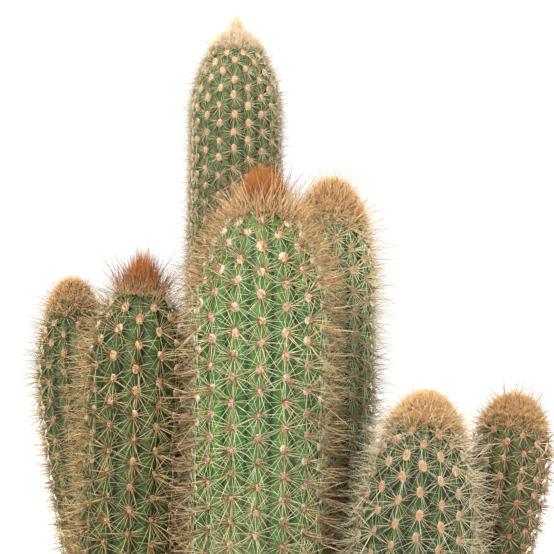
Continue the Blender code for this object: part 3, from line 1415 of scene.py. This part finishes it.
def lathe(name: str, outline: Sequence[tuple[float, float]], steps: int) -> bpy.types.Mesh:
    """Turn a closed outline round the Z axis.

    Args:
        name: The mesh's name.
        outline: Radius and height of each point, going up the outside first.
        steps: Faces round the axis.

    Returns:
        The mesh, with its faces pointing outwards.
    """
    mesh = bpy.data.meshes.new(name)
    count = len(outline)
    turns = [math.tau * step / steps for step in range(steps)]
    places = [(radius * math.cos(turn), radius * math.sin(turn), height)
              for turn in turns for radius, height in outline]
    faces = []
    for step in range(steps):
        here = step * count
        there = (step + 1) % steps * count
        for place in range(count):
            above = (place + 1) % count
            faces.append((here + place, there + place, there + above, here + above))
    mesh.from_pydata(places, [], faces)
    mesh.polygons.foreach_set("use_smooth", [True] * len(mesh.polygons))
    return mesh


def rounded(corners: Sequence[tuple[float, float, float]], steps: int = 5) -> list[tuple[float, float]]:
    """Round the corners of a closed outline.

    Args:
        corners: Radius, height and rounding of each corner.
        steps: Points along each rounding, less one.

    Returns:
        The points of the rounded outline.
    """
    points = []
    for number, (radius, height, rounding) in enumerate(corners):
        corner = Vector((radius, height))
        before = Vector(corners[number - 1][:2]) - corner
        after = Vector(corners[(number + 1) % len(corners)][:2]) - corner
        start = corner + before.normalized() * min(rounding, before.length * LARGEST_ROUNDING)
        end = corner + after.normalized() * min(rounding, after.length * LARGEST_ROUNDING)
        for step in range(steps + 1):
            share = step / steps
            point = start.lerp(corner, share).lerp(corner.lerp(end, share), share)
            points.append((point.x, point.y))
    return points


def densely(outline: Sequence[tuple[float, float]], spacing: float) -> list[tuple[float, float]]:
    """Add points to the long straight runs of a closed outline.

    Args:
        outline: Radius and height of each point.
        spacing: The greatest distance between two points.

    Returns:
        The points of the denser outline.
    """
    points = []
    for number, (radius, height) in enumerate(outline):
        start = Vector((radius, height))
        end = Vector(outline[(number + 1) % len(outline)])
        parts = max(1, math.ceil((end - start).length / spacing))
        points += [tuple(start.lerp(end, part / parts)) for part in range(parts)]
    return points


@dataclass(frozen=True)
class Pot:
    """The clay pot: a tapered wall with a rolled rim band and one drain hole."""

    height: float = 0.220
    rim_radius: float = 0.134
    band: float = 0.036
    step: float = 0.006
    foot_radius: float = 0.094
    wall: float = 0.009
    floor: float = 0.012
    drain: float = 0.012
    steps: int = 144
    clay: Clay = Clay()

    def build(self, effects: SharedEffects) -> None:
        """Turn the pot and dress it in clay.

        Args:
            effects: The shared shader groups.
        """
        under = self.rim_radius - self.step
        inner = self.rim_radius - self.step - self.wall
        inner_foot = self.foot_radius - self.wall
        outline = rounded([
            (self.drain, 0.0, 0.001),
            (self.foot_radius - 0.008, 0.0, 0.002),
            (self.foot_radius, 0.003, 0.003),
            (under, self.height - self.band, 0.004),
            (self.rim_radius - 0.001, self.height - self.band + 0.001, 0.003),
            (self.rim_radius, self.height, 0.005),
            (inner, self.height, 0.004),
            (inner - 0.001, self.height - 0.03, 0.01),
            (inner_foot, self.floor, 0.008),
            (self.drain, self.floor, 0.001),
        ])
        outline = [(radius, min(max(height, 0.0), self.height)) for radius, height in outline]
        mesh = lathe("clay_pot", densely(outline, 0.008), self.steps)
        mesh.materials.append(self.clay.material("fired_clay", effects))
        piece = bpy.data.objects.new("clay_pot", mesh)
        bpy.context.scene.collection.objects.link(piece)
        place(piece, "clay", "pot")


@dataclass(frozen=True)
class Litter:
    """One kind of crumb strewn on the soil, with its number to a square metre and its half width."""

    label: str
    finish: Gradient
    density: float
    size: float
    spread: float
    flat: float
    sink: float
    seed: int


@dataclass(frozen=True)
class Soil:
    """The soil: a lumpy bed, crowned in the middle, with crumbs and grit on it."""

    top: float = 0.200
    depth: float = 0.03
    crown: float = 0.003
    lumps: float = 0.0022
    radius: float = 0.1186
    rings: int = 44
    steps: int = 132
    earth: Earth = Earth()
    litter: tuple[Litter, ...] = (
        Litter("soil_crumbs",
               Gradient((52, 38, 29), (104, 84, 64), (44, 31, 24), (92, 74, 56), 0.5, 0.6, 0.95),
               110000.0, 0.0013, 0.6, 0.8, 0.4, 21),
        Litter("pumice_grit",
               Gradient((150, 140, 124), (202, 194, 178), (150, 128, 104), (222, 216, 204), 0.5, 0.6, 0.9),
               22000.0, 0.0019, 0.45, 0.75, 0.3, 22),
    )

    def build(self, effects: SharedEffects) -> None:
        """Lay the bed and strew the litter on it.

        Args:
            effects: The shared shader groups.
        """
        top = grown("soil_bed", soil_bed_tree(), {
            "Height": self.lumps, "Edge": self.radius, "Seed": 5,
            "Material": self.earth.material("potting_soil", effects),
        }, self._bed())
        place(top, "earth", "soil")
        tree = crumbs_tree()
        for kind in self.litter:
            piece = grown(kind.label, tree, {
                "Density": kind.density, "Size": kind.size, "Size Spread": kind.spread, "Sink": kind.sink,
                "Flat": kind.flat, "Seed": kind.seed, "Material": kind.finish.material(kind.label),
            }, top.data)
            place(piece, "earth")

    def _bed(self) -> bpy.types.Mesh:
        """Give the flat bed as a closed, slightly crowned disc of many rings.

        Returns:
            Its mesh, whose middle is closed by a fan of triangles above and below.
        """
        mesh = bpy.data.meshes.new("soil_disc")
        shares = [ring / self.rings for ring in range(self.rings, 0, -1)]
        foot = self.top - self.depth
        outline = [(self.radius * 0.5, foot), (self.radius * 0.965, foot),
                   *((self.radius * share, self.top + self.crown * (1 - share ** 2)) for share in shares)]
        turns = [math.tau * step / self.steps for step in range(self.steps)]
        places = [(radius * math.cos(turn), radius * math.sin(turn), height)
                  for radius, height in outline for turn in turns]
        places += [(0.0, 0.0, foot), (0.0, 0.0, self.top + self.crown)]
        bottom = len(places) - 2
        faces = []
        for step in range(self.steps):
            after = (step + 1) % self.steps
            for ring in range(len(outline) - 1):
                low = ring * self.steps
                high = low + self.steps
                faces.append((low + step, low + after, high + after, high + step))
            last = (len(outline) - 1) * self.steps
            faces.append((bottom, after, step))
            faces.append((last + step, last + after, bottom + 1))
        mesh.from_pydata(places, [], faces)
        return mesh


# Studio


@dataclass(frozen=True)
class Softbox:
    """One soft area light that faces the plant."""

    label: str
    place: tuple[float, float, float]
    size: float
    power: float

    def build(self, target: Vector) -> None:
        """Hang the light.

        Args:
            target: The point that it faces.
        """
        light = bpy.data.lights.new(self.label, "AREA")
        light.shape = "SQUARE"
        light.size = self.size
        light.energy = self.power
        lamp = bpy.data.objects.new(self.label, light)
        lamp.location = self.place
        lamp.rotation_euler = (target - Vector(self.place)).to_track_quat("-Z", "Y").to_euler()
        bpy.context.scene.collection.objects.link(lamp)


@dataclass(frozen=True)
class Studio:
    """A white studio: a pale floor, soft lights and a camera a little above the tops of the stems."""

    target: tuple[float, float, float] = (-0.005, -0.030, 0.400)
    distance: float = 0.800
    elevation: float = 2.5
    lens: float = 110.6
    sky: float = 0.13
    backdrop: float = 1.05
    lights: tuple[Softbox, ...] = (
        Softbox("key_light", (-0.7, -1.3, 1.7), 0.45, 62.0),
        Softbox("fill_light", (1.3, -0.9, 0.9), 0.8, 15.0),
        Softbox("back_light", (0.3, 1.4, 1.5), 1.0, 12.0),
    )

    def build(self) -> None:
        """Lay the floor, hang the lights and set the camera."""
        scene = bpy.context.scene
        scene.view_settings.view_transform = "Standard"
        world = bpy.data.worlds.new("white_room")
        world.use_nodes = True
        room = Graph(world.node_tree)
        seen = room.get("ShaderNodeLightPath", output="Is Camera Ray")
        background = world.node_tree.nodes["Background"].inputs
        background["Color"].default_value = WHITE
        room.feed(background["Strength"], room.ramp(seen, 0.0, 1.0, self.sky, self.backdrop, "LINEAR"))
        scene.world = world
        target = Vector(self.target)
        for light in self.lights:
            light.build(target)
        self._lay_floor()
        slope = math.radians(self.elevation)
        stand = target + Vector((0.0, -math.cos(slope), math.sin(slope))) * self.distance
        lens = bpy.data.cameras.new("camera")
        lens.lens = self.lens
        lens.sensor_width = 36.0
        camera = bpy.data.objects.new("camera", lens)
        camera.location = stand
        camera.rotation_euler = (target - stand).to_track_quat("-Z", "Y").to_euler()
        scene.collection.objects.link(camera)
        scene.camera = camera

    @staticmethod
    def _lay_floor() -> None:
        """Lay a wide pale floor under the pot that glows as painted light, dimmer near the pot and brighter
        away from it.
        """
        mesh = bpy.data.meshes.new("floor")
        mesh.from_pydata([(-6, -6, 0), (6, -6, 0), (6, 6, 0), (-6, 6, 0)], [], [(0, 1, 2, 3)])
        surface = Surface("pale_floor", Specular_IOR_Level=0.2)
        # Painted light: the floor glows, dimmer near the pot and brighter away from it
        surface.shader.inputs["Emission Color"].default_value = WHITE
        distance = surface.length(surface.coords())
        surface.feed(surface.shader.inputs["Emission Strength"], surface.ramp(distance, 0.4, 1.2, 0.35, 0.9))
        clouds = surface.noise(3.0, detail=2.0, roughness=0.5, vector=surface.coords())
        color = surface.mix(clouds, paint((244, 244, 243)), paint((248, 248, 247)))
        mesh.materials.append(surface.dress(color, 0.9))
        floor = bpy.data.objects.new("floor", mesh)
        bpy.context.scene.collection.objects.link(floor)


# The clump


def radials(count: int, length: float, finish: Gradient, lift: float = 11.0, thickness: float = 0.2 * MM,
            droop: float = 0.25, **more: Any) -> SpineSet:
    """Give a star of spines that lies near the skin."""
    return SpineSet(Rank.RADIAL, count, length, finish, lift, lift_spread=8.0, thickness=thickness,
                    droop=droop, **more)


def centrals(count: int, length: float, finish: Gradient, lift: float = 60.0, thickness: float = 0.2 * MM,
             droop: float = 0.1, **more: Any) -> SpineSet:
    """Give a few stout spines that stand out from the skin."""
    return SpineSet(Rank.CENTRAL, count, length, finish, lift, lift_spread=32.0, thickness=thickness,
                    droop=droop, spread=0.35, bend=0.04, seat=1.2 * MM, **more)


def bristles(count: int, length: float, finish: Gradient, thickness: float = 0.28 * MM) -> SpineSet:
    """Give short stubs of wool and young spines in the areole's heart."""
    return SpineSet(Rank.BRISTLE, count, length, finish, lift=70.0, lift_spread=25.0, thickness=thickness,
                    spread=0.35, seat=0.0011)


STRAW = Gradient((244, 220, 196), (242, 244, 206), (198, 206, 146), (190, 150, 104), 0.16, 0.82, 0.45)
TAN = Gradient((176, 122, 80), (244, 214, 160), (104, 64, 32), (66, 34, 18), 0.2, 0.66, 0.4)
# A darker copy of TAN for the left stem's centrals: painted shade in the dense spines between it and the
# main stem
TAN_IN_PAINTED_SHADE = Gradient((158, 108, 66), (230, 196, 140), (84, 50, 24), (54, 28, 14), 0.2, 0.62, 0.4)
AMBER = Gradient((238, 202, 158), (250, 226, 182), (196, 148, 98), (120, 72, 42), 0.25, 0.62, 0.4)
RUST = Gradient((234, 192, 136), (196, 124, 58), (140, 77, 29), (138, 74, 28), 0.55, 0.9, 0.5)
LANCE = Gradient((236, 198, 146), (234, 190, 136), (176, 118, 70), (64, 34, 20), 0.3, 0.5, 0.4)
UMBER = Gradient((236, 196, 146), (188, 134, 84), (116, 70, 38), (44, 24, 14), 0.5, 0.6, 0.4)
GOLD = Gradient((170, 122, 70), (232, 190, 128), (190, 138, 80), (240, 208, 152), 0.1, 0.75, 0.5, sheen=0.15)
IVORY = Gradient((204, 184, 136), (244, 236, 206), (188, 172, 124), (224, 204, 168), 0.15, 0.75, 0.5)
ASH = Gradient((176, 154, 106), (228, 216, 172), (142, 124, 80), (172, 136, 96), 0.2, 0.7, 0.5)
WOOLLY = Gradient((220, 192, 152), (240, 218, 182), (208, 178, 134), (240, 224, 196),
                  0.1, 0.75, 0.6, sheen=0.2)
FROND = Gradient((180, 154, 94), (224, 212, 146), (138, 122, 62), (152, 106, 60), 0.2, 0.72, 0.45)
PINK = Gradient((246, 230, 212), (246, 222, 200), (220, 180, 150), (216, 166, 136),
                0.5, 0.6, 0.95, sheen=0.3)
PEACH = Gradient((218, 194, 160), (202, 170, 132), (168, 128, 92), (166, 116, 82),
                 0.5, 0.58, 0.95, sheen=0.3)
CREAM = Gradient((232, 212, 180), (224, 192, 152), (190, 148, 108), (190, 140, 102),
                 0.4, 0.62, 0.95, sheen=0.3)
STUBS = Gradient((236, 204, 178), (250, 234, 212), (118, 44, 30), (134, 58, 40), 0.15, 0.6, 0.6)
GOLD_FELT = Felt((212, 164, 100), (156, 104, 54))
RUST_FELT = Felt((200, 150, 94), (132, 82, 42))
CREAM_FELT = Felt((232, 208, 170), (196, 164, 122))


def clump() -> tuple[Stem, ...]:
    """Describe the clump.

    Each stem starts with its name, ribs, shoulder, taper, pitch and first.

    Returns:
        The seven stems, the tallest last.
    """
    return (
        Stem("main", 16, 0.052, 1.6, 0.0109, 0.0035,
             Skin((12, 42, 12), (48, 92, 26), (98, 132, 62), bloom=0.45),
             Wool(PINK, 2.5 * MM, 2.2 * MM, 1.6 * MM, old=0.7),
             (radials(15, 13.0 * MM, STRAW, thickness=0.18 * MM, droop=0.1, young=0.6),
              centrals(14, 17.0 * MM, TAN, lift=66.0, young=0.6), bristles(13, 2.2 * MM, STUBS, 0.3 * MM)),
             Cap(0.006, 0.002, RUST_FELT),
             (CrownSet("tuft", 1100, 17 * MM, RUST, 0.18 * MM, 0.0031, upright=0.82, scatter=0.18, edge=0.6),
              CrownSet("fan", 360, 12 * MM, AMBER, 0.24 * MM, 0.0090, 0.0015, upright=0.55, scatter=0.55,
                       edge=0.9, spread=0.4, bend=0.03, segments=3),
              CrownSet("lances", 170, 22 * MM, LANCE, 0.3 * MM, 0.011, 0.001, upright=0.42, scatter=0.7,
                       spread=0.3, bend=0.02, segments=3),
              CrownSet("collar", 560, 16 * MM, LANCE, 0.2 * MM, 0.045, 0.009, upright=0.12, scatter=0.3,
                       edge=1.0, spread=0.35, bend=0.03, segments=3)),
             11, rib_depth=0.07),
        Stem("back_right", 15, 0.045, 1.6, 0.0105, 0.012,
             Skin((20, 44, 18), (58, 86, 34), (108, 124, 74)),
             Wool(PEACH, 2.0 * MM, 1.6 * MM, 1.2 * MM),
             (radials(16, 10.0 * MM, STRAW, thickness=0.2 * MM), centrals(11, 12.5 * MM, AMBER),
              bristles(5, 1.8 * MM, STUBS)),
             Cap(0.012, 0.003, GOLD_FELT),
             (CrownSet("hair", 3600, 6.5 * MM, GOLD, 0.14 * MM, 0.020, upright=0.3, scatter=0.5),
              CrownSet("wisps", 420, 12 * MM, AMBER, 0.16 * MM, 0.026, upright=0.35, scatter=0.5)),
             23),
        Stem("left", 13, 0.036, 1.85, 0.0110, 0.003,
             Skin((6, 24, 6), (24, 54, 12), (54, 82, 30)),
             Wool(CREAM, 2.5 * MM, 1.7 * MM, 1.3 * MM, old=0.65),
             (radials(14, 12.5 * MM, FROND, droop=0.4, thickness=0.17 * MM, young=0.7),
              # Its centrals are painted shaded, in a darker copy of TAN
              centrals(15, 16.5 * MM, TAN_IN_PAINTED_SHADE, young=0.75), bristles(7, 2.0 * MM, STUBS)),
             Cap(0.005, 0.002, RUST_FELT),
             (CrownSet("tuft", 600, 17 * MM, RUST, 0.2 * MM, 0.0024, upright=0.88, scatter=0.18, edge=0.5),
              CrownSet("fan", 220, 12 * MM, UMBER, 0.22 * MM, 0.006, 0.001, upright=0.5, scatter=0.4,
                       spread=0.35, segments=3),
              CrownSet("lances", 70, 20 * MM, UMBER, 0.25 * MM, 0.008, 0.001, upright=0.2, scatter=0.45,
                       segments=3)),
             37, turn=-9.7),
        Stem("far_left", 13, 0.045, 1.4, 0.0091, 0.0085,
             Skin((12, 28, 10), (34, 58, 20), (70, 88, 42)),
             Wool(PEACH, 1.9 * MM, 1.5 * MM, 1.2 * MM),
             (radials(15, 7.0 * MM, FROND, thickness=0.16 * MM), centrals(11, 9.0 * MM, TAN),
              bristles(5, 1.6 * MM, STUBS)),
             Cap(0.008, 0.002, GOLD_FELT),
             (CrownSet("hair", 2600, 4.8 * MM, GOLD, 0.14 * MM, 0.014, upright=0.2, scatter=0.5),
              CrownSet("wisps", 260, 8.5 * MM, TAN, 0.15 * MM, 0.017, 0.002, upright=0.25, scatter=0.5)),
             41),
        Stem("right", 16, 0.080, 1.8, 0.0104, 0.008,
             Skin((5, 20, 5), (20, 50, 12), (46, 76, 28)),
             Wool(PEACH, 2.7 * MM, 1.7 * MM, 1.2 * MM),
             (radials(18, 11.0 * MM, ASH, lift=10.0, thickness=0.12 * MM, droop=0.5),
              centrals(12, 14.0 * MM, IVORY, lift=56.0, thickness=0.135 * MM),
              bristles(6, 1.3 * MM, STUBS, 0.2 * MM)),
             Cap(0.009, 0.002, GOLD_FELT, 1.04),
             (CrownSet("hair", 8000, 3.6 * MM, GOLD, 0.13 * MM, 0.0125, upright=0.2, scatter=0.35),
              CrownSet("skirt", 900, 7 * MM, GOLD, 0.13 * MM, 0.022, 0.009, upright=-0.1, scatter=0.45),
              CrownSet("wisps", 260, 9 * MM, TAN, 0.15 * MM, 0.018, 0.002, upright=0.35, scatter=0.4)),
             53, turn=-11.2),
        Stem("far_right", 13, 0.030, 1.9, 0.0082, 0.009,
             Skin((16, 30, 10), (42, 58, 20), (82, 90, 46)),
             Wool(PEACH, 1.8 * MM, 1.5 * MM, 1.1 * MM),
             (radials(17, 7.5 * MM, TAN, thickness=0.16 * MM), centrals(10, 9.5 * MM, TAN),
              bristles(5, 1.6 * MM, STUBS)),
             Cap(0.007, 0.002, GOLD_FELT),
             (CrownSet("hair", 3200, 4.4 * MM, GOLD, 0.15 * MM, 0.014, upright=0.2, scatter=0.5),
              CrownSet("lances", 110, 12 * MM, UMBER, 0.2 * MM, 0.014, upright=0.3, scatter=0.5)),
             61),
        Stem("tall_back", 19, 0.042, 1.75, 0.0091, 0.0045,
             Skin((8, 28, 8), (30, 68, 18), (66, 94, 42)),
             Wool(CREAM, 2.3 * MM, 1.6 * MM, 1.2 * MM),
             (radials(26, 6.8 * MM, ASH, thickness=0.17 * MM, droop=0.1, lift=18.0),
              centrals(7, 7.5 * MM, ASH, thickness=0.14 * MM), bristles(4, 1.5 * MM, STUBS, 0.2 * MM)),
             Cap(0.004, 0.002, CREAM_FELT),
             (CrownSet("wool", 3000, 5.0 * MM, WOOLLY, 0.15 * MM, 0.009, upright=0.35, scatter=0.55),
              CrownSet("peak", 260, 12 * MM, WOOLLY, 0.18 * MM, 0.0007, upright=0.95, scatter=0.14,
                       edge=0.5)),
             71, turn=8.2),
    )


def main() -> None:
    """Build the pot, the soil, every stem and the studio."""
    logging.basicConfig(level=logging.INFO, format="%(name)s: %(message)s")
    effects = SharedEffects()
    Pot().build(effects)
    Soil().build(effects)
    nursery = Nursery.of(effects)
    for stem in clump():
        stem.build(nursery)
    Studio().build()


if __name__ == "__main__":
    main()
